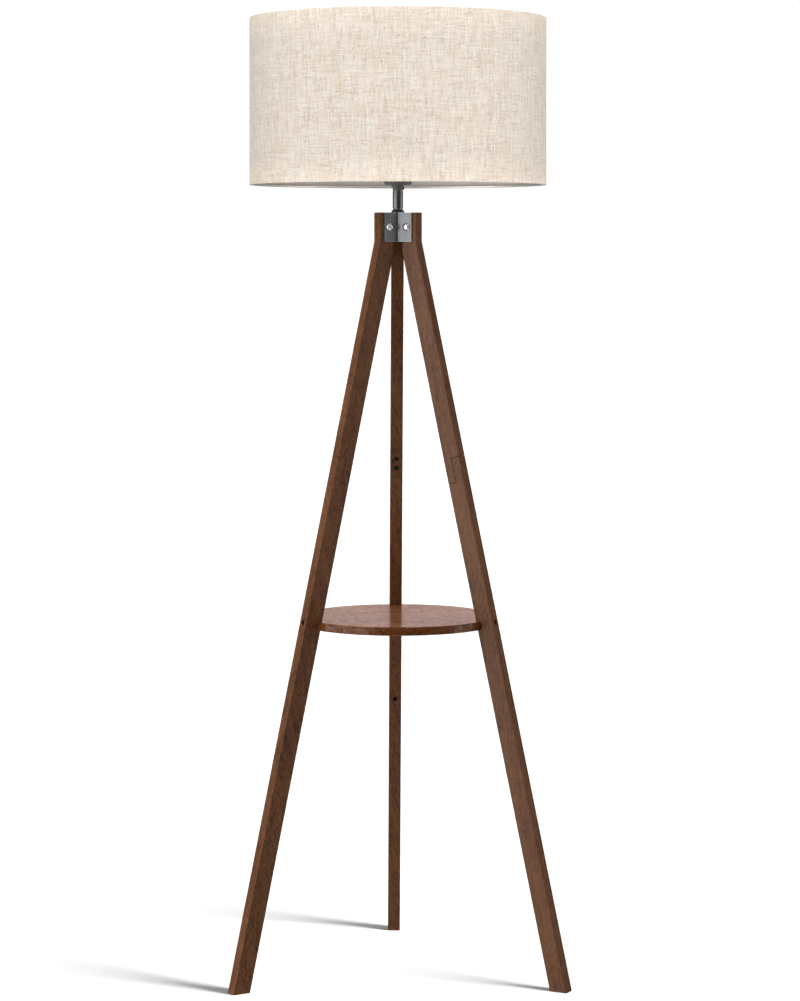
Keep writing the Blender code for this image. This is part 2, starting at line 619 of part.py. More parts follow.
def make_shade(lamp):
    cover_in = SHADE_RADIUS - FABRIC
    cover = turned(ring(cover_in, SHADE_RADIUS, SHADE_BOTTOM, SHADE_TOP), 96)
    place("shade_cover", to_mesh("shade_cover", cover, "linen"), lamp)

    liner_out = cover_in - GAP
    liner_in = liner_out - LINER
    liner = turned(ring(liner_in, liner_out, SHADE_BOTTOM + GAP, SHADE_TOP - GAP), 96)
    place("shade_liner", to_mesh("shade_liner", liner, "liner"), lamp)

    wire_out = liner_in - GAP - WIRE_RADIUS
    top_ring = wire_ring(wire_out, SHADE_TOP - WIRE_RADIUS - GAP)
    place("shade_top_ring", to_mesh("shade_top_ring", top_ring, "zinc"), lamp)

    # The spider is one welded piece: the bottom ring, three arms and the washer that sits on the holder.
    ring_height = SHADE_BOTTOM + WIRE_RADIUS + GAP
    spider = place("shade_spider", to_mesh("shade_spider", wire_ring(wire_out, ring_height), "zinc"), lamp)
    washer_bottom = CAP_TOP + GAP
    washer = turned(ring(FITTER_BORE, FITTER_RADIUS, washer_bottom, washer_bottom + FITTER_THICKNESS), 40)
    cut(spider, make_cutter("join_washer", to_mesh("join_washer", washer), lamp), "UNION")
    inner_end = Vector((FITTER_RADIUS - ARM_OVERLAP, 0, washer_bottom + FITTER_THICKNESS / 2))
    outer_end = Vector((wire_out - WIRE_RADIUS + ARM_OVERLAP, 0, ring_height))
    span = outer_end - inner_end
    for direction in SHADE_ARMS:
        turn = Matrix.Rotation(math.radians(direction), 3, "Z")
        arm = to_mesh("join_arm", cylinder(ARM_RADIUS, 0, span.length, 12))
        towards = facing(turn @ span)
        helper = make_cutter(f"join_arm_{direction:.0f}", arm, lamp, turn @ inner_end, towards)
        cut(spider, helper, "UNION")

    # The ring nut clamps the spider's washer down on the holder.
    nut_bottom = washer_bottom + FITTER_THICKNESS + GAP
    nut = turned(
        ring(HOLDER_RADIUS + GAP, RING_NUT_RADIUS, nut_bottom, nut_bottom + RING_NUT_HEIGHT, 0.0008),
        4 * RING_NUT_FLUTES)
    for vertex in nut.verts:
        turn = math.atan2(vertex.co.y, vertex.co.x)
        if vertex.co.xy.length > HOLDER_RADIUS + 0.002 and math.cos(turn * RING_NUT_FLUTES) < -0.5:
            vertex.co.x *= 0.965
            vertex.co.y *= 0.965
    place("shade_ring_nut", to_mesh("shade_ring_nut", nut, "black_plastic"), lamp)


def main():
    clear_scene()
    for name in MATERIALS:
        make_material(name)
    lamp = make_empty("lamp_axis", location=(0, AXIS_Y, 0))
    cutters = [make_leg(side, lamp) for side in LEG_DIRECTIONS]
    make_shelf(lamp, [shelf_cutter for _, shelf_cutter in cutters])
    make_bracket(lamp, [bore for bore, _ in cutters])
    make_stem(lamp)
    make_holder(lamp)
    make_bulb(lamp)
    make_shade(lamp)


main()
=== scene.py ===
"""Looks for the tripod floor lamp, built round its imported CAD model. Metres, +Z up, front towards -Y."""

import math

import bpy
import numpy as np
from mathutils import Matrix, Vector


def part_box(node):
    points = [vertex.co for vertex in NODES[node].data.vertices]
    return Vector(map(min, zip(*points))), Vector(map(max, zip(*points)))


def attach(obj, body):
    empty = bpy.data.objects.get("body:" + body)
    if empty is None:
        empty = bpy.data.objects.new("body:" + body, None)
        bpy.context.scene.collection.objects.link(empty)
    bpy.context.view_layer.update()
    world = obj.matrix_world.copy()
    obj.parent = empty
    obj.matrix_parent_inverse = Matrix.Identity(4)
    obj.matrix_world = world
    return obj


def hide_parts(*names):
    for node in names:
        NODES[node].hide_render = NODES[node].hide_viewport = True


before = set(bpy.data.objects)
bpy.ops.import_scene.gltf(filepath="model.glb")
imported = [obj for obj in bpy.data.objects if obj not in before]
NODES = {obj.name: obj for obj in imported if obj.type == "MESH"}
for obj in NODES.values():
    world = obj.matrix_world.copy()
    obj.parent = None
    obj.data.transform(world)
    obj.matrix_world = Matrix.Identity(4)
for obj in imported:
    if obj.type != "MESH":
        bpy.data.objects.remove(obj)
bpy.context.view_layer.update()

# ---------------------------------------------------------------- sizes shared with the CAD model

AXIS = (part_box("stem_tube")[0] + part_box("stem_tube")[1]) / 2
AXIS_X, AXIS_Y = AXIS.x, AXIS.y
LEG_DIRECTIONS = {"left": 210.0, "right": 330.0, "rear": 90.0}
LEG_SPLAY = math.radians(12.8)
LEG_HEAD_OUT = 0.0366           # outer face of a leg's head, from the lamp's axis
LEG_BEND = 1.1080               # height where the leg starts to splay
SHADE_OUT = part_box("shade_cover")[1].x
SHADE_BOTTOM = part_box("shade_cover")[0].z
SHADE_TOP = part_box("shade_cover")[1].z

# ---------------------------------------------------------------- camera

CAMERA_AWAY = 4.487             # from the lamp's axis
CAMERA_HEIGHT = 1.0868
CAMERA_TURN = math.radians(1.371)
CAMERA_TILT = math.radians(0.641)
CAMERA_LENS = 133.0
CAMERA_SENSOR = 36.0
CAMERA_SHIFT = (0.00265, -0.265)


def make_camera():
    """A long lens just below the height of the bracket, a little to the left of the lamp's front."""
    data = bpy.data.cameras.new("camera")
    data.sensor_fit = "HORIZONTAL"
    data.sensor_width = CAMERA_SENSOR
    data.lens = CAMERA_LENS
    data.shift_x, data.shift_y = CAMERA_SHIFT
    data.clip_end = 100.0
    camera = bpy.data.objects.new("camera", data)
    camera.location = (
        AXIS_X - CAMERA_AWAY * math.sin(CAMERA_TURN),
        AXIS_Y - CAMERA_AWAY * math.cos(CAMERA_TURN),
        CAMERA_HEIGHT)
    camera.rotation_euler = (math.radians(90) - CAMERA_TILT, 0, -CAMERA_TURN)
    bpy.context.scene.collection.objects.link(camera)
    bpy.context.scene.camera = camera


# ---------------------------------------------------------------- node helpers

class Nodes:
    """A tree under construction, with short names for its commonest nodes."""

    def __init__(self, tree):
        self.tree = tree

    def feed(self, socket, value):
        if isinstance(value, bpy.types.NodeSocket):
            self.tree.links.new(value, socket)
        else:
            socket.default_value = value

    def add(self, kind, inputs, **settings):
        node = self.tree.nodes.new("ShaderNode" + kind)
        for key, value in settings.items():
            setattr(node, key, value)
        for key, value in inputs.items():
            self.feed(node.inputs[key], value)
        return node

    def math(self, operation, a, b=0.0, clamp=False):
        node = self.add("Math", {0: a, 1: b}, operation=operation, use_clamp=clamp)
        return node.outputs[0]

    def weighted(self, *parts):
        """The sum of each value times its share."""
        total = None
        for value, share in parts:
            part = self.math("MULTIPLY", value, share)
            total = part if total is None else self.math("ADD", total, part)
        return total

    def remap(self, value, low, high, start=0.0, stop=1.0, smooth=False):
        kind = "SMOOTHSTEP" if smooth else "LINEAR"
        return self.add("MapRange", {
            "Value": value, "From Min": low, "From Max": high,
            "To Min": start, "To Max": stop}, interpolation_type=kind).outputs["Result"]

    def mix(self, share, a, b, kind="MIX"):
        node = self.add("Mix", {0: share}, data_type="RGBA", blend_type=kind)
        for socket, value in ((node.inputs[6], a), (node.inputs[7], b)):
            self.feed(socket, (*value, 1.0) if isinstance(value, tuple) else value)
        return node.outputs[2]


class Look(Nodes):
    """A material under construction."""

    def __init__(self, name):
        self.material = bpy.data.materials.new(name)
        self.material.use_nodes = True
        super().__init__(self.material.node_tree)
        self.surface = self.tree.nodes["Principled BSDF"]

    def place(self):
        return self.add("TexCoord", {}).outputs["Object"]

    def turned(self, vector, matrix, centre):
        """The vector measured from centre along the rows of a rotation matrix."""
        moved = self.add("VectorMath", {0: vector, 1: centre}, operation="SUBTRACT").outputs[0]
        turn = matrix.to_euler("XYZ")
        return self.add("Mapping", {"Vector": moved, "Rotation": turn}).outputs[0]

    def stretched(self, vector, scale):
        return self.add("VectorMath", {0: vector, 1: scale}, operation="MULTIPLY").outputs[0]

    def noise(self, vector, scale, detail=2.0, roughness=0.5, distortion=0.0):
        node = self.add("TexNoise", {
            "Vector": vector, "Scale": scale, "Detail": detail,
            "Roughness": roughness, "Distortion": distortion})
        return node.outputs["Fac"]

    def bump(self, height, strength, distance):
        inputs = {"Height": height, "Strength": strength, "Distance": distance}
        return self.add("Bump", inputs).outputs["Normal"]

    def edges(self, radius):
        """1 along the piece's sharp outer edges, 0 on its faces."""
        rounded = self.add("Bevel", {"Radius": radius}, samples=4).outputs[0]
        true = self.add("NewGeometry", {}).outputs["Normal"]
        dot = self.add("VectorMath", {0: rounded, 1: true}, operation="DOT_PRODUCT")
        return self.remap(dot.outputs["Value"], 0.99, 0.78, smooth=True)

    def finish(self, **inputs):
        for key, value in inputs.items():
            socket = self.surface.inputs[key.replace("_", " ")]
            self.feed(socket, (*value, 1.0) if isinstance(value, tuple) else value)
        return self.material


def dress(node, material):
    """Gives a CAD node its finished material."""
    obj = NODES[node]
    for holder in obj.material_slots:
        holder.material = material


# ---------------------------------------------------------------- wood

WOOD_PORE = (0.020, 0.0075, 0.0035)
# Each wood goes from dark to pale.
LEG_WOOD = ((0.048, 0.0155, 0.0050), (0.112, 0.0400, 0.0130), (0.178, 0.0750, 0.0290))
# The shelf is the legs' walnut, painted paler and redder: painted light and glare on its top.
SHELF_WOOD_PAINTED_LIGHT = ((0.050, 0.0150, 0.0045), (0.165, 0.0570, 0.0190), (0.340, 0.1320, 0.0560))
RIM_WOOD = ((0.050, 0.0130, 0.0020), (0.150, 0.0460, 0.0075))
FIBRE_SHARE = 0.54              # of what the figure leaves of the tone
HAIR_SHARE = 0.28
CLOUD_SHARE = 0.18
PORE_SHARE = 0.55               # how dark the pores are
EDGE_STAIN_AND_SHADE_WIDTH = 0.0022            # of the darker band along sharp edges: partly stain, partly painted shade for dark outlines
EDGE_STAIN_AND_SHADE_SHARE = 0.85
GRAIN_DEPTH = 0.00012
LEG_FINISH = (0.38, 0.19)       # roughness and specular level
SHELF_FINISH = (0.15, 0.05)
LEG_FIGURE = (110, 0.24)        # scale and share of the broad figure in the grain
SHELF_FIGURE = (36, 0.55)
MOTTLE_SCALE = 125              # of the uneven lacquer on the shelf
# how much paler the shelf is painted where its lacquer shines: painted sheen
PAINTED_SHEEN_SHARE = 0.25
# How far the grain runs off the leg's own direction, outwards and sideways
GRAIN_SLANTS = {"left": (0.30, 0.16), "right": (0.05, 0.02), "rear": (0.10, 0.28)}


def wood(name, rows, centre, shift, finish, shades, bold, rim=None):
    """Stained walnut in three shades. rows turns object space so that Z runs along the grain, bold is the
    figure's scale and share, and rim is the end grain's two shades, for a piece with uneven lacquer."""
    roughness, gloss = finish
    figure_scale, figure_share = bold
    look = Look(name)
    spot = look.turned(look.place(), rows, centre)
    spot = look.add("VectorMath", {0: spot, 1: shift}, operation="ADD").outputs[0]
    figure = look.noise(look.stretched(spot, (1, 1, 0.12)), figure_scale, 3, 0.55, 0.5)
    fibre = look.noise(look.stretched(spot, (1, 1, 0.24)), 500, 2, 0.6)
    hair = look.noise(look.stretched(spot, (1, 1, 0.30)), 950, 1, 0.5)
    cloud = look.noise(look.stretched(spot, (1, 1, 0.35)), 14, 2, 0.5)
    pores = look.remap(hair, 0.58, 0.72, smooth=True)

    rest = 1.0 - figure_share
    tone = look.weighted(
        (figure, figure_share), (fibre, FIBRE_SHARE * rest), (hair, HAIR_SHARE * rest),
        (cloud, CLOUD_SHARE * rest))
    lower = look.mix(look.remap(tone, 0.385, 0.495, smooth=True), shades[0], shades[1])
    colour = look.mix(look.remap(tone, 0.475, 0.63), lower, shades[2])
    lacquer = {}
    if rim is not None:
        up = look.add("SeparateXYZ", {0: look.add("NewGeometry", {}).outputs["Normal"]}).outputs[2]
        side = look.remap(look.math("ABSOLUTE", up), 0.6, 0.3)
        strokes = look.noise(look.stretched(look.place(), (1, 1, 0.9)), 300, 3, 0.65)
        end_grain = look.mix(look.remap(strokes, 0.36, 0.64), rim[0], rim[1])
        colour = look.mix(side, colour, end_grain)
        roughened = look.math("MULTIPLY", side, 0.35)
        # The lacquer over the open grain is uneven, so its shine is mottled, and the colour is painted
        # paler where it shines: a painted sheen.
        mottle = look.noise(look.stretched(look.place(), (1, 0.36, 1)), MOTTLE_SCALE, 3, 0.7)
        sheen_patches = look.remap(mottle, 0.38, 0.60)
        lacquer = {"Coat_Weight": look.remap(mottle, 0.38, 0.60, 0.05, 0.46), "Coat_Roughness": 0.20}
        painted_sheen = look.mix(side, shades[2], rim[1])
        colour = look.mix(look.math("MULTIPLY", sheen_patches, PAINTED_SHEEN_SHARE), colour, painted_sheen)
    colour = look.mix(look.math("MULTIPLY", pores, PORE_SHARE), colour, WOOD_PORE)
    # Darker along sharp edges: partly stain, partly painted shade outlining the edges.
    edge_stain_and_shade = look.edges(EDGE_STAIN_AND_SHADE_WIDTH)
    colour = look.mix(look.math("MULTIPLY", edge_stain_and_shade, EDGE_STAIN_AND_SHADE_SHARE), colour, WOOD_PORE)

    rough = look.remap(fibre, 0.3, 0.7, roughness - 0.05, roughness + 0.06)
    rough = look.math("ADD", rough, look.math("MULTIPLY", pores, 0.2), clamp=True)
    if rim is not None:
        rough = look.math("ADD", rough, roughened, clamp=True)
    rough = look.math("ADD", rough, look.math("MULTIPLY", edge_stain_and_shade, 0.3), clamp=True)
    height = look.math("SUBTRACT", look.math("MULTIPLY", fibre, 0.6), pores)
    normal = look.bump(height, 0.35, GRAIN_DEPTH)
    return look.finish(
        Base_Color=colour, Roughness=rough, Normal=normal, Specular_IOR_Level=gloss, **lacquer)


def grain_rows(along, side):
    """A rotation whose third row is the grain's direction and whose second is near side."""
    z = Vector(along).normalized()
    x = Vector(side).cross(z).normalized()
    return Matrix((x, z.cross(x), z))


def dress_wood():
    """The legs, each cut from its own wood, and the shelf."""
    out = Vector((math.cos(LEG_SPLAY), 0, math.sin(LEG_SPLAY)))
    up = Vector((-math.sin(LEG_SPLAY), 0, math.cos(LEG_SPLAY)))
    across = Vector((0, 1, 0))
    for number, (side, direction) in enumerate(LEG_DIRECTIONS.items()):
        turn = Matrix.Rotation(math.radians(direction), 3, "Z")
        depth_slant, width_slant = GRAIN_SLANTS[side]
        grain = up + out * depth_slant + across * width_slant
        rows = grain_rows(turn @ grain, turn @ across)
        head = turn @ Vector((LEG_HEAD_OUT, 0, 0)) + Vector((AXIS_X, AXIS_Y, LEG_BEND))
        for part, shift in (("upper", 0.0), ("lower", 1.7)):
            material = wood(
                f"walnut_{part}_{side}", rows, head, (0.61 * number + shift, 0.37 * number, shift),
                LEG_FINISH, LEG_WOOD, LEG_FIGURE)
            dress(f"{part}_leg_{side}", material)
    shelf_rows = grain_rows((1.0, 0.12, 0.0), (0, 1, 0))
    middle = (AXIS_X, AXIS_Y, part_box("shelf")[1].z)
    material = wood(
        "walnut_shelf", shelf_rows, middle, (2.3, 1.1, 0.4),
        SHELF_FINISH, SHELF_WOOD_PAINTED_LIGHT, SHELF_FIGURE, RIM_WOOD)
    dress("shelf", material)


# ---------------------------------------------------------------- metals, plastics and glass

CUT_EDGE_AND_HIGHLIGHT_WIDTH = 0.0011         # of the paler edges of a cut plate: bare steel, and a painted highlight


def metal(name, colour, roughness, scratch=(1, 1, 1), scratch_scale=900, edge=None, specks=0.04):
    """A metal with fine marks stretched by scratch, and uneven gloss. The edge colour is for cut edges,
    paler as bare steel and as a painted highlight.
    """
    look = Look(name)
    spot = look.place()
    marks = look.noise(look.stretched(spot, scratch), scratch_scale, 3, 0.6)
    smear = look.noise(spot, 60, 3, 0.6)
    darker = tuple(c * (1 - 2 * specks) for c in colour)
    lighter = tuple(min(1.0, c * (1 + specks)) for c in colour)
    tint = look.mix(look.remap(marks, 0.35, 0.65), darker, lighter)
    # Paler cut edges: partly bare steel, partly a painted highlight where the edges catch the light.
    if edge is not None:
        tint = look.mix(look.math("MULTIPLY", look.edges(CUT_EDGE_AND_HIGHLIGHT_WIDTH), 0.85), tint, edge)
    rough = look.math(
        "ADD", look.remap(smear, 0.3, 0.7, roughness * 0.8, roughness * 1.2),
        look.remap(marks, 0.3, 0.7, -0.03, 0.04), clamp=True)
    return look.finish(
        Base_Color=tint, Metallic=1.0, Roughness=rough, Normal=look.bump(marks, 0.12, 0.00006))


def moulded(name, colour, roughness, grain_scale=1400):
    """A moulded or fired piece with a fine skin."""
    look = Look(name)
    spot = look.place()
    skin = look.noise(spot, grain_scale, 2, 0.5)
    patch = look.noise(spot, 80, 2, 0.5)
    darker = tuple(c * 0.88 for c in colour)
    tint = look.mix(look.remap(patch, 0.3, 0.7), darker, colour)
    rough = look.remap(skin, 0.3, 0.7, roughness * 0.85, roughness * 1.15)
    return look.finish(Base_Color=tint, Roughness=rough, Normal=look.bump(skin, 0.2, 0.00005))


def frosted(name):
    """Glass coated white inside, so that nothing shows through it."""
    look = Look(name)
    grit = look.noise(look.place(), 1800, 2, 0.6)
    tint = look.mix(look.remap(grit, 0.3, 0.7), (0.86, 0.86, 0.84), (0.93, 0.93, 0.92))
    return look.finish(
        Base_Color=tint, Roughness=look.remap(grit, 0.3, 0.7, 0.28, 0.40),
        Normal=look.bump(grit, 0.15, 0.00005))


def dress_hardware():
    """Every piece of metal, plastic, porcelain and glass."""
    plate = metal(
        "brushed_plate", (0.115, 0.116, 0.119), 0.31, (1, 1, 0.04), 1100, edge=(0.50, 0.50, 0.52))
    chrome = metal("chrome_plate", (0.78, 0.78, 0.80), 0.10, specks=0.02)
    gun = metal("black_nickel_tube", (0.108, 0.108, 0.112), 0.25, (1, 1, 0.06), 1300)
    zinc = metal("zinc_plate", (0.55, 0.55, 0.56), 0.30)
    ring_zinc = metal("ring_zinc", (0.70, 0.69, 0.67), 0.36, scratch_scale=500)
    black_screw = metal("screw_oxide", (0.035, 0.034, 0.033), 0.42)
    brass = metal("brass_sheet", (0.62, 0.43, 0.17), 0.28)
    aluminium = metal("aluminium_cap", (0.62, 0.62, 0.63), 0.30)
    black = moulded("black_moulding", (0.016, 0.016, 0.017), 0.42)
    # The socket cap is black plastic, painted mid grey for its underside lit from below: painted light.
    cap_painted_light = moulded("black_cap_painted_light", (0.095, 0.095, 0.092), 0.45)
    porcelain = moulded("porcelain_glaze", (0.80, 0.78, 0.74), 0.22, 500)
    glass = frosted("bulb_frost")
    finishes = {
        "bracket": ("brushed_steel", plate), "shade_spider": ("zinc", ring_zinc),
        "shade_top_ring": ("zinc", ring_zinc), "base_collar": ("black_plastic", black),
        "stem_tube": ("black_nickel", gun), "stem_trim_ring": ("black_plastic", black),
        "cap_lock_nut": ("zinc", zinc), "hub_lock_nut": ("zinc", zinc), "threaded_pipe": ("zinc", zinc),
        "cap_set_screw": ("screw_black", black_screw), "cord_bushing": ("black_plastic", black),
        "socket_cap": ("black_plastic", cap_painted_light), "socket_body": ("black_plastic", black),
        "shade_ring_nut": ("black_plastic", black), "socket_contact": ("brass", brass),
        "socket_screw_shell": ("brass", brass), "bulb_tip_contact": ("brass", brass),
        "socket_insulator": ("porcelain", porcelain), "bulb_insulator": ("black_plastic", black),
        "bulb_cap": ("aluminium", aluminium), "bulb_globe": ("frosted_glass", glass)}
    for side in LEG_DIRECTIONS:
        finishes[f"leg_bolt_{side}"] = ("chrome", chrome)
        finishes[f"leg_nut_{side}"] = ("chrome", chrome)
        for name in (f"lap_screw_{side}_1", f"lap_screw_{side}_2", f"shelf_screw_{side}"):
            finishes[name] = ("screw_black", black_screw)
    for node, (slot, material) in finishes.items():
        dress(node, material)


# ---------------------------------------------------------------- shade

CLOTH = 0.0005                  # thickness of the linen
RIM_PAINTED_LIGHT_WIDTH = 0.045               # how far from each rim the cloth is painted paler: painted light
SEAM_OVERLAP = math.radians(3.2)
SEAM_STEP = 0.0006              # how far the lapped end stands out, over the first end
SEAM_RISE = 0.03                # the turn over which it lifts, in radians
SEAM_AT = math.radians(90)      # the seam is at the back
COLUMNS = 360
LAP_COLUMNS = 6
ROWS = 48
FOLD_RADIUS = 0.00075           # of the cloth's turn round each rim
FOLD_PROUD = 0.0003             # how far the turned edge stands out from the cloth's face
FOLD_POINTS = 6
FACE_START = 0.0035             # where the plain face starts, from each rim
UNDER_RIM = 0.0007              # how far the hem reaches in under the liner's edge
WAVES = ((0.00012, 5, 0.7), (0.00009, 11, 0.0))     # height, number round the shade, phase
SAG = 0.0001                    # how far the cloth draws in halfway up
THREAD_PITCH = 0.0011

LINEN_TAN = (0.635, 0.50, 0.395)
LINEN_PALE = (0.98, 0.915, 0.835)
LINEN_PEACH = (0.92, 0.74, 0.57)
LINEN_COOL = (0.86, 0.82, 0.79)
LINEN_GREEN = (0.82, 0.84, 0.68)
LINEN_PINK = (0.92, 0.73, 0.68)
LINEN_SLUB = (0.58, 0.42, 0.29)
# Painted light: the cloth's colour is multiplied by the first in the middle and by the second near both
# rims.
LINEN_PAINTED_SHADE_MIDDLE = (0.880, 0.880, 0.885)
LINEN_PAINTED_LIGHT_RIMS = (1.0, 0.985, 0.965)
LINEN_FLECK = (0.24, 0.15, 0.10)


def linen(height):
    """Natural linen: slubby warp and weft threads that cross, a few tan slubs and dark flecks.
    height is the cloth's width from rim to rim, folds included."""
    look = Look("linen")
    uv = look.add("UVMap", {}, uv_map="cloth").outputs[0]
    axes = look.add("SeparateXYZ", {0: uv})
    across, along = axes.outputs[0], axes.outputs[1]

    def cells(across_count, along_count, layer, detail=1, roughness=0.5):
        """Noise with so many cells to the metre each way. layer sets one noise apart from another."""
        spot = look.add("CombineXYZ", {
            0: look.math("MULTIPLY", across, across_count),
            1: look.math("MULTIPLY", along, along_count), 2: layer}).outputs[0]
        return look.noise(spot, 1.0, detail, roughness)

    def tinted(colour, patches, low, high, share, tint):
        """The colour with up to this share of a tint where patches goes from low to high."""
        return look.mix(look.remap(patches, low, high, 0.0, share), colour, tint)

    # Threads: long thin cells, of two thicknesses each way.
    warp_fine = cells(880, 70, 1.5)
    weft_fine = cells(70, 820, 9.5)
    warp_thick = cells(330, 34, 21.5, roughness=0.6)
    weft_thick = cells(30, 350, 33.5, roughness=0.6)
    crossing = cells(560, 540, 45.5)
    threads = look.weighted(
        (warp_fine, 0.26), (weft_fine, 0.20), (warp_thick, 0.20), (weft_thick, 0.14), (crossing, 0.20))
    colour = look.mix(look.remap(threads, 0.365, 0.59), LINEN_TAN, LINEN_PALE)

    # The yarn's colour drifts over a few centimetres and from thread to thread.
    colour = tinted(colour, cells(58, 22, 51.5, 3, 0.6), 0.42, 0.70, 0.40, LINEN_PEACH)
    colour = tinted(colour, cells(48, 26, 63.5, 3, 0.6), 0.50, 0.76, 0.28, LINEN_COOL)
    colour = tinted(colour, cells(120, 150, 71.5, 2, 0.6), 0.50, 0.68, 0.24, LINEN_GREEN)
    colour = tinted(colour, cells(150, 120, 77.5, 2, 0.6), 0.50, 0.68, 0.24, LINEN_PINK)

    # Slubs along the weft and the warp, and flecks of bark.
    colour = tinted(colour, cells(60, 520, 83.5), 0.68, 0.78, 0.5, LINEN_SLUB)
    colour = tinted(colour, cells(560, 75, 91.5), 0.69, 0.79, 0.4, LINEN_SLUB)
    colour = tinted(colour, cells(420, 380, 103.5, 0, 0.4), 0.81, 0.86, 0.6, LINEN_FLECK)

    # Over-and-under of the weave, with painted shade darkening the hollows between threads.
    tops = []
    for axis, thread in ((across, warp_fine), (along, weft_fine)):
        wave = look.math("SINE", look.math("MULTIPLY", axis, math.pi / THREAD_PITCH))
        tops.append(look.math("MULTIPLY", look.math("ABSOLUTE", wave), thread))
    weave = look.math("MAXIMUM", *tops)
    hollow_shade = look.remap(weave, 0.05, 0.30, 0.82, 1.0)
    shadow = look.add("CombineXYZ", {0: hollow_shade, 1: hollow_shade, 2: hollow_shade}).outputs[0]
    colour = look.mix(1.0, colour, shadow, "MULTIPLY")

    # Painted light and shade: the cloth is painted paler towards both rims and darker in the middle.
    low_rim_light = look.remap(along, RIM_PAINTED_LIGHT_WIDTH, 0.0)
    top_rim_light = look.remap(along, height - RIM_PAINTED_LIGHT_WIDTH, height)
    rim_light_share = look.math("MAXIMUM", low_rim_light, top_rim_light)
    colour = look.mix(1.0, colour, look.mix(rim_light_share, LINEN_PAINTED_SHADE_MIDDLE, LINEN_PAINTED_LIGHT_RIMS), "MULTIPLY")
    return look.finish(
        Base_Color=colour, Roughness=look.remap(weave, 0.0, 0.5, 0.95, 0.80),
        Sheen_Weight=0.1, Sheen_Roughness=0.5, Specular_IOR_Level=0.2,
        Normal=look.bump(weave, 0.4, 0.0003))


def make_shade_cloth():
    """One strip of linen wrapped round the liner, hems turned over both rims, lapped at the back."""
    outside = SHADE_OUT
    inside = SHADE_OUT - CLOTH
    bottom, top = SHADE_BOTTOM, SHADE_TOP
    under = inside - UNDER_RIM

    def fold(centre, start):
        """The cloth's quarter turn round a rim, about this height and from this angle in degrees."""
        points = []
        for step in range(FOLD_POINTS):
            turn = math.radians(start + 90 * step / (FOLD_POINTS - 1))
            points.append((outside - FOLD_RADIUS + FOLD_RADIUS * math.cos(turn) + FOLD_PROUD,
                           centre + FOLD_RADIUS * math.sin(turn)))
        return points

    # The cloth's face: from under the liner's bottom edge, round the fold, up and over the top.
    profile = [(under, bottom + 0.0001)]
    profile += fold(bottom + FOLD_RADIUS, -90)
    heights = np.linspace(bottom + FACE_START, top - FACE_START, ROWS)
    profile += [(outside, float(z)) for z in heights]
    profile += fold(top - FOLD_RADIUS, 0)
    profile.append((under, top - 0.0001))
    back = [(under, top - 0.0003), (inside, top - 0.0004), (inside, (top + bottom) / 2)]
    back += [(inside, bottom + 0.0004), (under, bottom + 0.0003)]
    section = profile + back

    # How far along the cloth each point of the section lies; the back runs down again.
    lengths = [0.0]
    for a, b in zip(section, section[1:]):
        lengths.append(lengths[-1] + math.dist(a, b))
    face_length = lengths[len(profile) - 1]
    spread = [v if i < len(profile) else 2 * face_length - v for i, v in enumerate(lengths)]

    turns = list(np.linspace(0.0, math.tau, COLUMNS))
    lap_start = math.tau + SEAM_OVERLAP / LAP_COLUMNS
    turns += list(np.linspace(lap_start, math.tau + SEAM_OVERLAP, LAP_COLUMNS))
    vertices, faces = [], []
    count = len(section)
    for turn in turns:
        lift = SEAM_STEP * min(1.0, max(0.0, (turn - (math.tau - SEAM_RISE)) / SEAM_RISE))
        wave = sum(size * math.sin(number * turn + phase) for size, number, phase in WAVES)
        for radius, height in section:
            share = math.sin(math.pi * min(1.0, max(0.0, (height - bottom) / (top - bottom))))
            r = radius + lift - SAG * share + wave * share
            a = SEAM_AT + turn
            vertices.append((AXIS_X + r * math.cos(a), AXIS_Y + r * math.sin(a), height))
    for column in range(len(turns) - 1):
        for row in range(count):
            ahead = (row + 1) % count
            faces.append((column * count + row, (column + 1) * count + row,
                          (column + 1) * count + ahead, column * count + ahead))
    faces.append(tuple(reversed(range(count))))
    last = (len(turns) - 1) * count
    faces.append(tuple(last + row for row in range(count)))
    mesh = bpy.data.meshes.new("shade_linen")
    mesh.from_pydata(vertices, [], faces)

    # UV in metres of cloth: U round the shade and V up its face.
    layer = mesh.uv_layers.new(name="cloth")
    around = [SHADE_OUT * turn for turn in turns]
    values = []
    for polygon in mesh.polygons:
        rows_here = [v % count for v in polygon.vertices]
        wraps = 0 in rows_here and count - 1 in rows_here
        for vertex in polygon.vertices:
            row = vertex % count
            v = spread[row]
            # The section is closed: its last row meets the first, whose V is 0.
            if wraps and row == count - 1:
                v = 0.0
            values += [around[vertex // count], v]
    layer.data.foreach_set("uv", values)
    mesh.validate()
    mesh.shade_smooth()
    mesh.set_sharp_from_angle(angle=math.radians(50))
    cloth = bpy.data.objects.new("shade_linen", mesh)
    bpy.context.scene.collection.objects.link(cloth)
    mesh.materials.append(linen(face_length))
    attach(cloth, "shade")
    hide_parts("shade_cover")
    return cloth


def dress_liner():
    """The stiff sheet behind the cloth, matt and a little cloudy, painted darker than its own white for
    the shade inside the drum.
    """
    look = Look("styrene_liner_painted_shade")
    spot = look.place()
    haze = look.noise(spot, 30, 2, 0.5)
    skin = look.noise(look.stretched(spot, (1, 1, 0.3)), 900, 2, 0.5)
    # Painted shade: the liner is white, and this darker beige stands in for the shade inside the drum.
    tint = look.mix(look.remap(haze, 0.3, 0.7), (0.60, 0.555, 0.50), (0.66, 0.62, 0.565))
    material = look.finish(
        Base_Color=tint, Roughness=look.remap(skin, 0.3, 0.7, 0.42, 0.55),
        Normal=look.bump(skin, 0.1, 0.00005))
    dress("shade_liner", material)


# ---------------------------------------------------------------- floor, light and surroundings

FLOOR_SIZE = 600.0
FLOOR_HEIGHT = -0.0002          # just under the feet

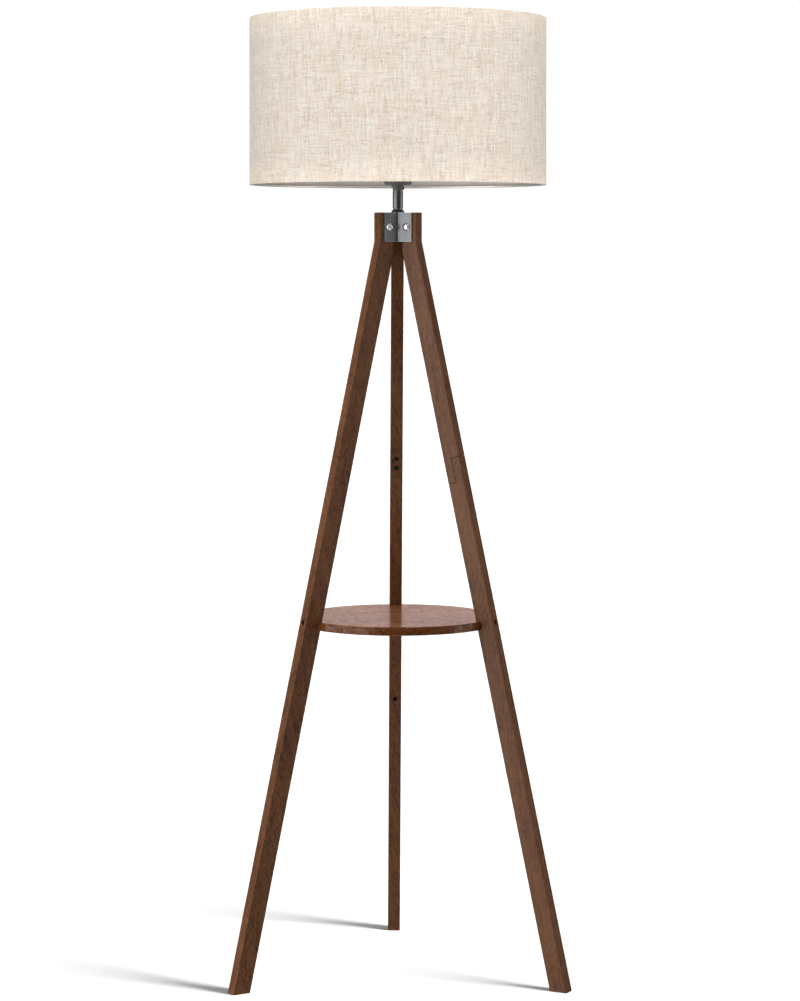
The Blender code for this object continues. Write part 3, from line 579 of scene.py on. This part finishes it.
# Azimuth from the camera's direction, distance, height, width, height of the light's face, radiance and
# the height it aims at, then what it lights
SOFTBOXES = {
    "key_softbox": (-63, 2.7, 0.8, 3.4, 3.8, 3.0, 0.65, "CAD"),
    "side_softbox": (85, 2.6, 0.8, 1.7, 2.7, 2.0, 0.6, "CAD"),
    "front_softbox": (0, 5.0, 2.5, 6.0, 2.2, 4.15, 1.3, "cloth"),
    "left_wash": (-75, 3.5, 2.4, 2.4, 2.0, 2.55, 1.3, "cloth"),
    "right_wash": (75, 3.5, 2.4, 2.4, 2.0, 2.55, 1.3, "cloth"),
    "rear_wash": (180, 5.0, 2.5, 5.0, 2.2, 1.9, 1.3, "cloth"),
    "back_softbox": (180, 3.2, 3.6, 2.4, 1.6, 7.0, 0.5, "both")}
SUN_ENERGY = 7.3 * math.pi
SUN_WIDTH = math.radians(25)
SUN_AZIMUTH = 61
SUN_ELEVATION = math.radians(11)

# Brightness of the surroundings
SWEEP = 0.70                    # the backdrop straight behind the lamp
SWEEP_TINT = (1.0, 0.78, 0.75)
FLAGS = 0.12                    # on both sides of the backdrop
SIDES = 0.55
ROOM = 0.20                     # behind the camera
CEILING = 0.60
FLOOR_BOUNCE = 0.62
BACKDROP = 1.02                 # what the camera sees of them: just over white

# Where one fades into the next: -1 is straight behind the lamp, and 1 at the camera
SWEEP_EDGE = (-0.985, -0.93)
SIDES_EDGE = (-0.55, 0.0)
ROOM_EDGE = (0.2, 0.9)
# -1 is straight down, and 1 straight up
CEILING_EDGE = (0.25, 0.8)
BOUNCE_EDGE = (-0.1, -0.45)


def make_floor():
    """A wide paper floor just under the feet."""
    mesh = bpy.data.meshes.new("floor")
    half = FLOOR_SIZE / 2
    corners = [(-half, -half, 0), (half, -half, 0), (half, half, 0), (-half, half, 0)]
    mesh.from_pydata(corners, [], [(0, 1, 2, 3)])
    floor = bpy.data.objects.new("floor", mesh)
    floor.location = (0, 0, FLOOR_HEIGHT)
    bpy.context.scene.collection.objects.link(floor)
    look = Look("floor_paper")
    tooth = look.noise(look.place(), 300, 2, 0.5)
    tint = look.mix(look.remap(tooth, 0.3, 0.7), (0.64, 0.64, 0.64), (0.66, 0.66, 0.66))
    mesh.materials.append(look.finish(Base_Color=tint, Roughness=0.9, Specular_IOR_Level=0.1))
    # The floor lights nothing and shows in nothing, so it can be as bright as paper needs.
    floor.visible_diffuse = False
    floor.visible_glossy = False
    return floor


def only_for(lamp, objects, shadows_of=None):
    """The lamp lights these objects and nothing else, and only shadows_of cast its shadows."""
    group = bpy.data.collections.new(f"lit_by_{lamp.name}")
    for obj in objects:
        group.objects.link(obj)
    lamp.light_linking.receiver_collection = group
    if shadows_of is not None:
        blockers = bpy.data.collections.new(f"shadows_of_{lamp.name}")
        for obj in shadows_of:
            blockers.objects.link(obj)
        lamp.light_linking.blocker_collection = blockers


def from_camera_side(azimuth, distance, height):
    """A point round the lamp; azimuth is from the camera's direction, positive to the camera's right."""
    turn = math.radians(azimuth) - CAMERA_TURN
    return Vector((
        AXIS_X + distance * math.sin(turn), AXIS_Y - distance * math.cos(turn), height))


def softbox(name, azimuth, distance, height, width, tall, radiance, aim_height):
    """A rectangular light of even radiance, turned to the lamp's axis at aim_height."""
    data = bpy.data.lights.new(name, "AREA")
    data.shape = "RECTANGLE"
    data.size, data.size_y = width, tall
    data.energy = radiance * math.pi * width * tall
    lamp = bpy.data.objects.new(name, data)
    lamp.location = from_camera_side(azimuth, distance, height)
    aim = Vector((AXIS_X, AXIS_Y, aim_height)) - lamp.location
    lamp.rotation_euler = aim.to_track_quat("-Z", "Y").to_euler()
    bpy.context.scene.collection.objects.link(lamp)
    return lamp


def make_lights(floor, cloth):
    """Softboxes for the lamp, and a low sun for the floor, which casts the legs' shadows."""
    solids = list(NODES.values())
    lit = {"CAD": solids, "cloth": [cloth], "both": solids + [cloth]}
    for name, (*settings, what) in SOFTBOXES.items():
        only_for(softbox(name, *settings), lit[what])

    data = bpy.data.lights.new("floor_light", "SUN")
    data.energy = SUN_ENERGY
    data.angle = SUN_WIDTH
    sun = bpy.data.objects.new("floor_light", data)
    away = from_camera_side(SUN_AZIMUTH, 1.0, 0) - Vector((AXIS_X, AXIS_Y, 0))
    away.z = math.tan(SUN_ELEVATION)
    sun.rotation_euler = (-away).to_track_quat("-Z", "Y").to_euler()
    bpy.context.scene.collection.objects.link(sun)
    legs = [NODES[f"{part}_leg_{side}"] for part in ("upper", "lower") for side in LEG_DIRECTIONS]
    only_for(sun, [floor], shadows_of=legs)


def make_world():
    """A white sweep behind the lamp, dark flags beside it, a dim room in front and a pale floor below."""
    world = bpy.data.worlds.new("studio")
    bpy.context.scene.world = world
    world.use_nodes = True
    nodes = Nodes(world.node_tree)
    background = nodes.tree.nodes["Background"]

    def blend(share, a, b):
        return nodes.add("Mix", {"Factor": share, "A": a, "B": b}).outputs["Result"]

    direction = nodes.add("TexCoord", {}).outputs["Generated"]
    towards_camera = (-math.sin(CAMERA_TURN), -math.cos(CAMERA_TURN), 0)
    facing = nodes.add("VectorMath", {0: direction, 1: towards_camera}, operation="DOT_PRODUCT")
    front = facing.outputs["Value"]
    height = nodes.add("SeparateXYZ", {0: direction}).outputs["Z"]

    level = nodes.remap(front, *SWEEP_EDGE, SWEEP, FLAGS, smooth=True)
    sides = nodes.remap(front, *SIDES_EDGE, 0.0, SIDES - FLAGS, smooth=True)
    level = nodes.math("ADD", level, sides)
    room = nodes.remap(front, *ROOM_EDGE, 0.0, ROOM - SIDES, smooth=True)
    level = nodes.math("ADD", level, room)
    level = blend(nodes.remap(height, *CEILING_EDGE, smooth=True), level, CEILING)
    level = blend(nodes.remap(height, *BOUNCE_EDGE, smooth=True), level, FLOOR_BOUNCE)

    # The backdrop is warm in what it lights, and plain white to the camera.
    seen = nodes.add("LightPath", {}).outputs["Is Camera Ray"]
    warmth = nodes.remap(front, *SWEEP_EDGE, 1.0, 0.0, smooth=True)
    warmth = nodes.math("SUBTRACT", warmth, seen, clamp=True)
    nodes.feed(background.inputs["Color"], nodes.mix(warmth, (1.0, 1.0, 1.0), SWEEP_TINT))
    nodes.feed(background.inputs["Strength"], blend(seen, level, BACKDROP))


make_camera()
dress_wood()
dress_hardware()
dress_liner()
cloth = make_shade_cloth()
floor = make_floor()
make_lights(floor, cloth)
make_world()
bpy.context.scene.view_settings.view_transform = "Standard"
